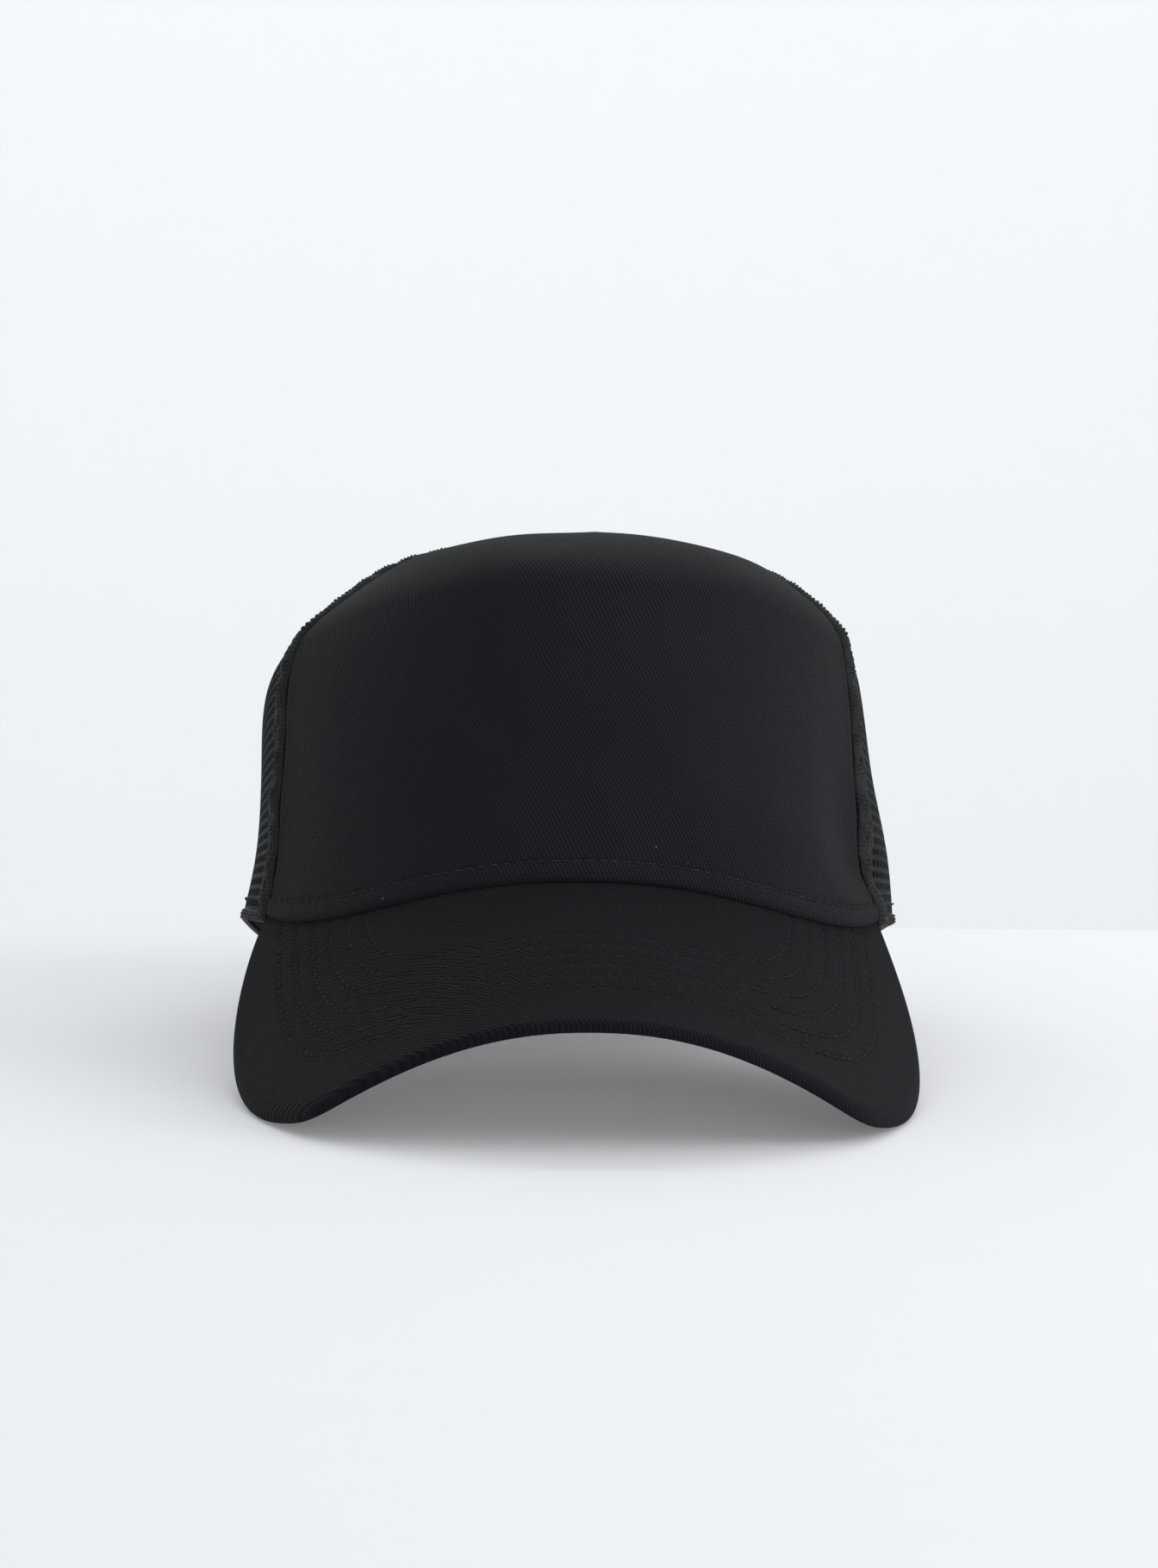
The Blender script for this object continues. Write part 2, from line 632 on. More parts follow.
def mesh_panel(name, t_from, t_to):
    """Knitted mesh with open holes: a staggered net laid over the flat panel and bent to the crown."""
    middle = (t_from + t_to) / 2
    s_line = np.linspace(0, ring(NET_TOP), 400)
    centre_line = outer_skin(np.full_like(s_line, middle), s_line)
    up = steps_along(centre_line, 0)
    t_line = np.linspace(t_from, t_to, NET_SPANS + 1)
    s_grid = np.linspace(0, ring(NET_TOP), NET_SPANS + 1)
    tt, ss = np.meshgrid(t_line, s_grid, indexing="ij")
    wide = steps_along(outer_skin(tt, ss), 0)
    wide = wide - wide[NET_SPANS // 2:NET_SPANS // 2 + 1]

    def to_skin(u, v):
        """Flat distances to angle t and s."""
        s = np.interp(v, up, s_line)
        place_s = s / s_grid[-1] * NET_SPANS
        low = np.clip(place_s.astype(int), 0, NET_SPANS - 1)
        f = place_s - low
        left = wide[0, low] * (1 - f) + wide[0, low + 1] * f
        right = wide[-1, low] * (1 - f) + wide[-1, low + 1] * f
        share = (u - left) / (right - left)
        return t_from + (t_to - t_from) * share, s

    half = max(abs(wide[0]).max(), abs(wide[-1]).max()) + 3
    across = int(half / HOLE_PITCH) + 1
    rows = int(up[-1] / ROW_PITCH) + 1
    ii, jj = np.meshgrid(np.arange(-across, across + 1), np.arange(rows + 1), indexing="ij")
    u = (ii + 0.5 * (jj % 2)).ravel() * HOLE_PITCH
    v = (jj.ravel() + 0.4) * ROW_PITCH
    t, s = to_skin(u, v)
    here = outer_skin(t, s)
    margin = 1.3 / np.maximum(np.linalg.norm(here[:, :2], axis=-1), 5)
    keep = (t > t_from + margin) & (t < t_to - margin) & (v < up[-1] - 1)
    keep &= opening_distance(here) > 1.02
    u, v = u[keep], v[keep]

    corner = np.radians(np.arange(6) * 60 + 30)
    hexagon = np.stack([np.cos(corner) * HOLE_PITCH / sqrt(3), np.sin(corner) * ROW_PITCH * 2 / 3], -1)
    turn = np.linspace(0, 2 * pi, HOLE_SIDES, endpoint=False)
    hole = np.stack([np.cos(turn) * HOLE_PITCH * 0.325, np.sin(turn) * ROW_PITCH * 0.30], -1)
    wobble = rng.normal(0, 0.05, (len(u), HOLE_SIDES, 2))
    centre = np.stack([u, v], -1)[:, None]
    outer_flat = (centre + hexagon).reshape(-1, 2)
    hole_flat = (centre + hole + wobble).reshape(-1, 2)
    keys = np.round(outer_flat / 0.05).astype(np.int64)
    _, first, same = np.unique(keys, axis=0, return_index=True, return_inverse=True)
    same = same.ravel()
    net_flat = outer_flat[first]
    flat = np.concatenate([net_flat, hole_flat])
    t, s = to_skin(flat[:, 0], flat[:, 1])
    t = np.clip(t, t_from, t_to)
    edge = len(net_flat)
    rise = np.concatenate([np.full(edge, 0.0), np.full(len(hole_flat), 0.36)])
    sink = np.concatenate([np.full(edge, MESH), np.full(len(hole_flat), 0.62)])
    points = np.concatenate([skin(t, s, rise), skin(t, s, sink)])
    total = len(flat)

    cells = len(u)
    net = same.reshape(cells, 6)
    holes = edge + np.arange(cells * HOLE_SIDES).reshape(cells, HOLE_SIDES)
    faces = []
    near = [int(round(((a - radians(30)) % (2 * pi)) / radians(60))) % 6 for a in turn]
    for k in range(HOLE_SIDES):
        k2 = (k + 1) % HOLE_SIDES
        a, b = near[k], near[k2]
        from_hole, to_hole = holes[:, k], holes[:, k2]
        border = [net[:, a]] if a == b else [net[:, a], net[:, b]]
        front = np.stack(border + [to_hole, from_hole], -1)
        faces += front.tolist() + (front[:, ::-1] + total).tolist()
        wall = np.stack([from_hole, to_hole, to_hole + total, from_hole + total], -1)
        faces += wall.tolist()
    # close the net's outer border, where an edge belongs to one cell only
    edges = np.sort(np.stack([net, np.roll(net, -1, 1)], -1).reshape(-1, 2), 1)
    pairs, uses = np.unique(edges, axis=0, return_counts=True)
    for a, b in pairs[uses == 1].tolist():
        faces.append((a, b, b + total, a + total))
    uv = np.concatenate([flat, flat])
    panel = make_object(name + "_net", place(points), faces, mesh_knit, slot="mesh", uv=uv)
    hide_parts(name)
    return panel


for side, word in ((1, "left"), (-1, "right")):
    a, b, c = side * SEAM, side * BACK_SEAM, side * pi
    side_mesh = mesh_panel("side_mesh_" + word, min(a, b), max(a, b))
    back_mesh = mesh_panel("back_mesh_" + word, min(b, c), max(b, c))


# ---- knitted edges and seams ----
def knit_strip(name, t, s, width_share, columns, pitch, stand, material, slot, thickness=0.9):
    """Bunched knit along a seam or hem: t and s are grids, width_share runs 0 to 1 across it."""
    run = steps_along(skin(t, s), 1)
    round_over = np.sqrt(np.clip(1 - (2 * width_share - 1) ** 2, 0, 1))
    column = np.abs(np.sin(pi * columns * width_share))
    which = np.floor(columns * width_share - 1e-6)
    slant = (width_share * columns - which) * np.where(which % 2 == 0, 0.55, -0.55)
    turns = run / pitch + slant + which * 0.41
    loop = np.abs(np.sin(pi * turns))
    chance = np.abs(np.sin(np.floor(turns) * 12.99 + which * 78.23))
    rough = 0.22 * np.sin(run * 0.9 + which * 2.1) * np.sin(run * 0.37 + 1.0)
    knots = column ** 0.6 * loop ** 0.6 * (0.45 + 0.55 * chance)
    out = round_over * (0.42 * stand + np.minimum(0.58 * stand, 0.8) * knots + rough)
    return slab(name, skin(t, s, -out), skin(t, s, np.full_like(out, thickness)), material, slot=slot)


def seam_strip(name, angle, near, far, low, high, columns, stand, waver=0.0, rows=1500, across=25,
               pitch=1.25):
    """Strip beside a seam: near and far are distances from it in mm, positive away from the front."""
    side = 1 if angle > 0 else -1
    share = np.linspace(0, 1, across)[:, None]
    part = np.linspace(0, 1, rows)[None, :]
    base = np.full_like(part, abs(angle))
    s = low(base) + (high - low(base)) * part
    radius = np.maximum(np.linalg.norm(outer_skin(base, s)[..., :2], axis=-1), 6)
    bunch = waver * (np.sin(part * 41 + side) + 0.7 * np.sin(part * 23 + 2 * side))
    far_edge = far + bunch
    near_edge = near - 0.5 * waver + 0.4 * waver * np.sin(part * 57 + 2)
    t = side * (abs(angle) + (near_edge + (far_edge - near_edge) * share) / radius)
    s = np.broadcast_to(s, t.shape)
    share = np.broadcast_to(share, t.shape)
    crown = waver * smooth((part - 0.45) / 0.2)
    swell = stand * (1 + 0.25 * (waver - crown) * np.sin(part * 33 + side)) * (1 + 0.75 * crown)
    if side < 0:
        t, s, share = t[::-1], s[::-1], share[::-1]
    return knit_strip(name, t, s, share, columns, pitch, swell, seam_knit, "mesh")


for side, word in ((1, "left"), (-1, "right")):
    seam_strip("front_seam_roll_" + word, side * SEAM, 0.1, 5.0, at_rise(0.1),
               ring(9.0), 3, 2.1, waver=0.9)
    seam_strip("back_seam_rib_" + word, side * BACK_SEAM, -1.7, 1.7, at_rise(0.3),
               ring(6.0), 2, 0.55)
seam_strip("centre_back_rib", pi, -1.7, 1.7, at_level(OPENING_HEIGHT + 2.5),
           ring(6.0), 2, 0.55)

HEM_WIDTH = 2.8
HEM_COLUMNS, HEM_ROWS = 19, 1200
CORNER_STOP = pi - asin((OPENING_HALF_WIDTH + 2.5) / HALF_WIDTH)


def hem_strip(name, t_from, t_to):
    """Knitted selvedge of the mesh along the head opening."""
    run = np.linspace(t_from, t_to, HEM_ROWS)[None, :]
    share = np.linspace(0, 1, HEM_COLUMNS)[:, None]
    t = np.broadcast_to(run, (HEM_COLUMNS, HEM_ROWS))
    s = above_edge(t, HEM_WIDTH * share - 0.3)
    share = np.broadcast_to(share, t.shape)
    knit_strip(name, t[::-1], s[::-1], share[::-1], 3, 1.05, 0.8, mesh_knit, "mesh", thickness=1.3)


hem_strip("mesh_hem_left", SEAM + 0.01, CORNER_STOP)
hem_strip("mesh_hem_right", -CORNER_STOP, -SEAM - 0.01)
for side, word in ((1, "left"), (-1, "right")):
    row = side * np.linspace(SEAM + 0.07, CORNER_STOP - 0.06, 500)
    crown_stitches(f"band_topstitch_{word}", row, above_edge(row, 5.2), black_thread, height=0.34,
                   pitch=3.2, length=2.5, radius=0.22, slot="mesh")


# ---- inside of the crown ----
def lining(name, node, t_from, t_to, low, high, depth, thickness, material, slot, columns, rows,
           relief=None):
    """Layer of cloth or foam inside the crown, which takes the place of a CAD node."""
    t, s = crown_grid(t_from, t_to, low, high, columns, rows)
    out = np.zeros_like(s) if relief is None else relief(t, s)
    outer = skin(t, s, depth + np.zeros_like(s))
    piece = slab(name, outer, skin(t, s, depth + thickness + out), material, slot=slot)
    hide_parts(node)
    return piece


inside = SEAM - (TAPE_WIDTH / 2 + 1.5) / HALF_LENGTH
lining("front_backing_cloth", "front_panel_backing", -inside, inside, at_rise(3.2),
       at_ring(12.0), TWILL + LAYER_GAP, BACKING, buckram, "buckram", 120, 90,
       lambda t, s: 0.12 * np.sin(6 * t + 5 * s) * np.cos(4 * t - 6 * s))


def tape_relief(t, s):
    """Two lines of stitching press the tape into a flat rib."""
    across = np.linspace(-1, 1, t.shape[0])[:, None]
    return np.broadcast_to(0.18 * np.cos(across * pi * 1.5) - 0.1 * np.abs(across) ** 6, t.shape)


half_tape = TAPE_WIDTH / 2 / HALF_LENGTH
tape_rise = SWEATBAND_HEIGHT - 6
for side, word in ((1, "left"), (-1, "right")):
    for where, angle in (("front", SEAM), ("back", BACK_SEAM)):
        lining(f"{where}_seam_tape_cloth_{word}", f"{where}_seam_tape_{word}", side * angle - half_tape,
               side * angle + half_tape, at_rise(tape_rise),
               at_ring(TAPE_WIDTH + 3), MESH + TAPE_GAP, TAPE, tape_cloth,
               "seam_tape", 17, 120, tape_relief)
lining("centre_back_tape_cloth", "centre_back_tape", pi - half_tape, pi + half_tape,
       at_level(OPENING_HEIGHT + BINDING_WIDTH - 1),
       at_ring(TAPE_WIDTH + 3), MESH + TAPE_GAP, TAPE, tape_cloth, "seam_tape",
       17, 90, tape_relief)


def band_relief(t, s):
    """The sweatband: padded channels between two rows of stitching, with small creases."""
    up = np.linspace(0, 1, t.shape[1])[None, :]
    channel = 0.55 * np.sin(pi * np.clip(up / 0.9, 0, 1)) ** 0.5 + 0.35 * bump(up - 0.95, 0.04)
    crease = 0.10 * np.sin(t * 46 + 1.5 * np.sin(t * 9)) * np.sin(pi * up)
    return channel + crease


def make_sweatband():
    """Band of folded twill inside the opening; its lower edge turns out to the seam."""
    end = pi - asin((OPENING_HALF_WIDTH + SWEATBAND_END) / HALF_WIDTH)
    rows = 40
    t, s = crown_grid(-end, end, at_rise(SWEATBAND_LIFT),
                      at_rise(SWEATBAND_HEIGHT), 420, rows)
    rise = SWEATBAND_LIFT + (SWEATBAND_HEIGHT - SWEATBAND_LIFT) * np.linspace(0, 1, rows)[None, :]
    turn_out = np.where(np.abs(t) < SEAM, 1.2, 2.1) * (1 - smooth(rise / 4))
    depth = SWEATBAND_DEPTH - turn_out
    return slab("sweatband_cloth", skin(t, s, depth), skin(t, s, depth + SWEATBAND + band_relief(t, s)),
                band_cloth, slot="sweatband")


sweatband = make_sweatband()
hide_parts("sweatband")
padding = lining("sweatband_padding_foam", "sweatband_padding", -PADDED_ANGLE, PADDED_ANGLE,
                 at_rise(4.2), at_rise(SWEATBAND_HEIGHT - 3.5),
                 SWEATBAND_DEPTH - PADDING - LAYER_GAP, PADDING, foam, "padding_foam", 80, 14)
size_label = lining("size_label_cloth", "size_label", LABEL_ANGLE - 0.12, LABEL_ANGLE + 0.12,
                    at_rise(12), at_rise(27),
                    SWEATBAND_DEPTH + SWEATBAND + 0.75, 0.35, label_cloth, "label", 24, 20,
                    lambda t, s: 0.12 * np.sin((t - LABEL_ANGLE) * 26 + 1))


# ---- binding of the rear opening ----
def opening_place(angle, margin):
    """Place of a point on the half-moon grown by a margin: angle 0 is the wearer's left corner."""
    x = (OPENING_HALF_WIDTH + margin) * np.cos(angle)
    z = (OPENING_HEIGHT + margin) * np.sin(angle) - REAR_DIP
    t = pi - np.arcsin(np.clip(x / HALF_WIDTH, -1, 1))
    for _ in range(12):
        p = outer_skin(t, level(t, z))
        t = t - (x - p[..., 0]) / (HALF_WIDTH * np.maximum(np.abs(np.cos(t)), 0.2))
    return t, level(t, z)


def make_binding():
    """Strip of twill folded over the opening's edge: its profile is drawn as margin and depth."""
    angle = np.linspace(0.03, pi - 0.03, 200)
    profile = []
    side, fold = 0.62, 0.72
    flat = BINDING_WIDTH
    for share in np.linspace(1, 0, 10):
        profile.append((flat * share, -side - 0.12 * sin(pi * share) + (0.5 if share == 1 else 0)))
    for a in np.linspace(0, pi, 9)[1:-1]:
        profile.append((-fold * sin(a), MESH / 2 - (MESH / 2 + side) * cos(a)))
    for share in np.linspace(0, 1, 10):
        profile.append((flat * share, MESH + side + 0.12 * sin(pi * share) - (0.5 if share == 1 else 0)))
    outer, uv = [], []
    for k, (margin, depth) in enumerate(profile):
        t, s = opening_place(angle, margin)
        outer.append(skin(t, s, depth))
        uv.append(np.stack([np.full_like(angle, k * 0.8), angle * 50], -1))
    outer = np.array(outer)
    inner = []
    for margin, depth in profile:
        toward = np.clip((MESH / 2 - depth) / (MESH / 2 + side), -1, 1) * 0.42
        t, s = opening_place(angle, max(margin, -fold + 0.35))
        inner.append(skin(t, s, depth + toward))
    piece = slab("rear_opening_binding_cloth", outer, np.array(inner), trim_twill, uv=np.array(uv),
                 slot="twill")
    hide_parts("rear_opening_binding")
    t, s = opening_place(angle, 5.2)
    crown_stitches("rear_opening_topstitch", t, s, black_thread, height=0.72, pitch=3.0, length=2.4)


make_binding()


# ---- brim ----
def brim_outline(count):
    """Half outline in plan, from the brim's end at the seam to the middle of its front edge."""
    reach = HALF_LENGTH + BRIM_REACH
    end, corner = np.array([SEAM_X, SEAM_Y]), np.array([CORNER_X, CORNER_Y])
    rise = CORNER_Y + reach
    front_radius = (CORNER_X ** 2 + rise ** 2 - CORNER_RADIUS ** 2) / (2 * (rise - CORNER_RADIUS))
    front = np.array([0, front_radius - reach])
    span = end - corner
    long = np.linalg.norm(span)
    inner = SIDE_RADIUS - CORNER_RADIUS
    foot = (long ** 2 + inner ** 2 - SIDE_RADIUS ** 2) / (2 * long)
    ahead, aside = span / long, np.array([-span[1], span[0]]) / long
    side = corner + ahead * foot + aside * sqrt(inner ** 2 - foot ** 2)

    def bearing(centre, point):
        return atan2(point[1] - centre[1], point[0] - centre[0])

    def arc(centre, radius, start, stop):
        a = np.linspace(start, stop, 60)
        return centre + radius * np.stack([np.cos(a), np.sin(a)], -1)

    at_side, at_front = bearing(side, corner), bearing(front, corner)
    line = np.concatenate([arc(side, SIDE_RADIUS, bearing(side, end), at_side),
                           arc(corner, CORNER_RADIUS, at_side, at_front)[1:],
                           arc(front, front_radius, at_front, -pi / 2)[1:]])
    run = steps_along(line, 0)
    even = np.linspace(0, run[-1], count)
    return np.stack([np.interp(even, run, line[:, k]) for k in range(2)], -1)


ROWS = 6
ROW_SPACING = 4.5
STITCH_CENTRE_Y = -60.0       # the stitch rows are rounded rectangles about this point
STITCH_HALF_WIDTH, STITCH_HALF_DEPTH, STITCH_POWER = 76.0, 86.0, 3.1


def stitch_reach(x, y):
    """Distance in mm inside the outermost stitch row, negative outside it."""
    ahead = np.maximum(STITCH_CENTRE_Y - y, 0)
    size = ((np.abs(x) / STITCH_HALF_WIDTH) ** STITCH_POWER
            + (ahead / STITCH_HALF_DEPTH) ** STITCH_POWER) ** (1 / STITCH_POWER)
    return (1 - size) * (STITCH_HALF_WIDTH + STITCH_HALF_DEPTH) / 2


def stitch_row(k):
    """Plan of one row of stitches, counted from the outermost, as far as the crown."""
    half_width = STITCH_HALF_WIDTH - ROW_SPACING * k * 0.95
    half_depth = STITCH_HALF_DEPTH - ROW_SPACING * k * 1.03
    a = np.linspace(-0.32, pi + 0.32, 900)
    c, s = np.cos(a), np.sin(a)
    x = half_width * np.sign(c) * np.abs(c) ** (2 / STITCH_POWER)
    y = STITCH_CENTRE_Y - half_depth * np.sign(s) * np.abs(s) ** (2 / STITCH_POWER)
    x = np.where(s < 0, half_width * np.sign(c), x)
    y = np.where(s < 0, STITCH_CENTRE_Y + 40 * np.abs(s), y)
    inside_band = (x / (HALF_WIDTH + 1.5)) ** 2 + (y / (HALF_LENGTH + 1.5)) ** 2 < 1
    keep = ~inside_band
    return x[keep], y[keep]


BRIM_PROUD = 0.5              # the covers' sewn edge stands outside the board's outline
BRIM_ROUND = BRIM_THICKNESS / 2


def make_brim():
    """Twill over and under the board, joined at a rounded edge, with sewn channels and stitches."""
    half = brim_outline(180)
    line = np.concatenate([half * [-1, 1], half[::-1][1:]])
    ahead = np.gradient(line, axis=0)
    away = np.stack([ahead[:, 1], -ahead[:, 0]], -1)
    away = unit(away)
    away = away * np.sign(np.sum(away * (line - [0, -60]), -1, keepdims=True))
    line = line + away * BRIM_PROUD
    t = np.linspace(-SEAM, SEAM, len(line))
    inner_x = (HALF_WIDTH - SEAM_ALLOWANCE) * np.sin(t)
    inner_y = -(HALF_LENGTH - SEAM_ALLOWANCE) * np.cos(t)
    inner = np.stack([inner_x, inner_y], -1)
    span = np.linalg.norm(line - inner, axis=-1)[:, None]
    near_edge = BRIM_ROUND * 1.4 * (1 - np.cos(np.linspace(0, pi / 2, 12)))[None, :]
    near_edge = np.minimum(near_edge, span * 0.3)
    rest = near_edge[:, -1:] + (span - near_edge[:, -1:]) * np.linspace(0, 1, 130)[None, 1:]
    from_edge = np.concatenate([near_edge, rest], 1)[:, ::-1]
    part = (1 - from_edge / span)[..., None]
    plan = inner[:, None] + (line - inner)[:, None] * part
    x, y = plan[..., 0], plan[..., 1]
    inside = stitch_reach(x, y)
    sewn = smooth((inside + 3) / 3) * smooth((ROW_SPACING * (ROWS - 1) + 4 - inside) / 3)
    channel = np.abs(np.sin(pi * inside / ROW_SPACING)) ** 0.6
    ripple = 0.12 * np.sin(x * 1.75 + 0.6 * np.sin(y * 0.5)) * np.sin(y * 1.7 + 1.0)
    relief = sewn * (0.30 * channel - 0.18 + ripple) + 0.10 * np.sin(x * 0.07 + 1) * np.sin(y * 0.09)
    relief = relief * smooth(from_edge / 4)
    inward = np.clip(1 - from_edge / BRIM_ROUND, 0, 1)
    half_thick = BRIM_ROUND * np.sqrt(np.clip(1 - inward ** 2, 0, 1))
    top_depth = BRIM_ROUND - half_thick - relief
    under_depth = BRIM_ROUND + half_thick + sewn * 0.08 * channel
    lined = from_edge > BRIM_ROUND * 0.9
    uv = np.stack([x * 1.12, y * 1.15], -1)
    cover = slab("brim_top_cloth", brim_point(x, y, top_depth),
                 brim_point(x, y, np.where(lined, BOARD_TOP, BRIM_ROUND)), brim_twill, uv=uv, slot="twill")
    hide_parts("brim_top_cover")
    below = slab("brim_under_cloth", brim_point(x, y, np.where(lined, BOARD_UNDER, BRIM_ROUND)),
                 brim_point(x, y, under_depth), brim_twill, uv=uv, slot="twill")
    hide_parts("brim_under_cover")
    for k in range(ROWS):
        rx, ry = stitch_row(k)
        stitches(f"brim_stitch_row_{k + 1}", brim_point(rx, ry, 0.10), brim_normal(rx, ry), black_thread,
                 pitch=3.6, length=3.0, radius=0.25, lift=0.10)
        stitches(f"brim_under_stitch_row_{k + 1}", brim_point(rx, ry, BRIM_THICKNESS - 0.02),
                 -brim_normal(rx, ry), black_thread, pitch=3.6, length=3.0, radius=0.22, lift=0.06)


make_brim()


# ---- button ----
def make_button():
    """Domed button under a gathered cover."""
    low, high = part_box("top_button")
    radius = (high.x - low.x) / 2 * 1000
    around, up = 96, 22
    a = np.linspace(0, 2 * pi, around, endpoint=False)[:, None]
    part = np.linspace(0, 1, up)[None, :]
    r = radius * np.cos(part * pi / 2) ** 0.8
    z = 3.6 * np.sin(part * pi / 2) ** 0.9
    fold = 0.10 * np.cos(8 * a) * np.sin(pi * part) ** 2
    r = r * (1 + 0.012 * np.cos(16 * a) * (1 - part))
    x, y = r * np.cos(a), r * np.sin(a) + CROWN_LEAN
    top = np.stack([x + 0 * z, y + 0 * z, CROWN_HEIGHT + 0.3 + z - fold], -1)
    points = top.reshape(-1, 3)
    faces = grid_quads(around, up, wrap=True)
    faces.append([i * up for i in range(around)][::-1])
    uv = points[:, :2] * 1.2
    button = make_object("top_button_cloth", place(points), faces, trim_twill, slot="twill", uv=uv)
    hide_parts("top_button")


make_button()

# ---- snap straps ----
STRAP_LOW, STRAP_WIDTH, STRAP, STRAP_GAP, TAB_DEPTH, TAB_END_X = -0.8, 18.0, 1.2, 0.1, 2.0, 66.0
BEND_X, FLEX_X, STRAP_TIP_X, STRAP_CORNER = 41.0, 34.0, 23.5, 6.0
PEG_PITCH, PEG_COUNT, PEGS_IN_USE, PEG_HOLE_RADIUS = 9.0, 6, 5, 2.45
STRAP_MIDDLE = STRAP_LOW + STRAP_WIDTH / 2
EDGE_ROUND = 0.45
HOLE_EDGE = PEG_HOLE_RADIUS + EDGE_ROUND


def strap_plan(side):
    """Y of the free strap's middle plane: the outer strap has side 1, the inner one -1."""
    t = pi - asin(BEND_X / HALF_WIDTH)
    root = skin(t, level(t, STRAP_MIDDLE), TAB_DEPTH + STRAP / 2)
    slope = -HALF_LENGTH * sin(t) / (HALF_WIDTH * cos(t))
    return float(root[..., 1]) + (BEND_X - FLEX_X) / 2 * slope + side * (STRAP + STRAP_GAP) / 2


def strap_surface(x, z, out, side):
    """Point of a strap: x and z in its plan as on the wearer's left, out from its middle plane."""
    flat = np.stack([x, strap_plan(side) + out, z], -1)
    on_crown = np.maximum(x, FLEX_X)
    t = pi - np.arcsin(on_crown / HALF_WIDTH)
    sewn = skin(t, level(t, z), TAB_DEPTH + STRAP / 2 - out)
    free = smooth((BEND_X - x) / (BEND_X - FLEX_X))[..., None]
    p = sewn * (1 - free) + flat * free
    return p * [side, 1, 1]


def loop_normals(loop):
    """Directions out of an anticlockwise loop, and so into a hole."""
    ahead = np.roll(loop, -1, 0) - np.roll(loop, 1, 0)
    away = np.stack([ahead[:, 1], -ahead[:, 0]], -1)
    return unit(away)


def strap_loops(holes):
    """Edges of the strap's plan in x and z: the outline anticlockwise, and each hole clockwise."""
    low, high = STRAP_LOW, STRAP_LOW + STRAP_WIDTH
    tip, end = -STRAP_TIP_X, TAB_END_X
    turn = np.linspace(0, pi / 2, 12)
    corner = STRAP_CORNER * np.stack([np.cos(turn), np.sin(turn)], -1)
    top_left = [tip + STRAP_CORNER, high - STRAP_CORNER] + corner * [-1, 1]
    low_left = [tip + STRAP_CORNER, low + STRAP_CORNER] + corner[::-1] * [-1, -1]
    along = np.arange(tip + STRAP_CORNER + 1, end - 0.5, 1.0)
    side = np.arange(low + 1.0, high - 0.5, 1.0)
    outline = np.concatenate([
        np.stack([along[::-1], np.full_like(along, high)], -1), top_left[::-1], low_left[::-1],
        np.stack([along, np.full_like(along, low)], -1),
        [[end, low]], np.stack([np.full_like(side, end), side], -1), [[end, high]]])
    outline = outline[np.append(np.linalg.norm(np.diff(outline, axis=0), axis=1) > 1e-6, True)]
    a = np.linspace(0, 2 * pi, 28, endpoint=False)
    rounds = [np.stack([x + PEG_HOLE_RADIUS * np.cos(-a), STRAP_MIDDLE + PEG_HOLE_RADIUS * np.sin(-a)], -1)
              for x in holes]
    return [outline] + rounds


def on_strap(p, holes, corner, hole):
    """Which points of the plan are inside the rounded tip, by radius, and outside the holes."""
    corner_x = -STRAP_TIP_X + STRAP_CORNER
    off_x = np.minimum(p[:, 0] - corner_x, 0)
    off_z = np.maximum(np.abs(p[:, 1] - STRAP_MIDDLE) - (STRAP_WIDTH / 2 - STRAP_CORNER), 0)
    on = (np.hypot(off_x, off_z) < corner) | (p[:, 0] > corner_x)
    for x in holes:
        on &= np.hypot(p[:, 0] - x, p[:, 1] - STRAP_MIDDLE) > hole
    return on


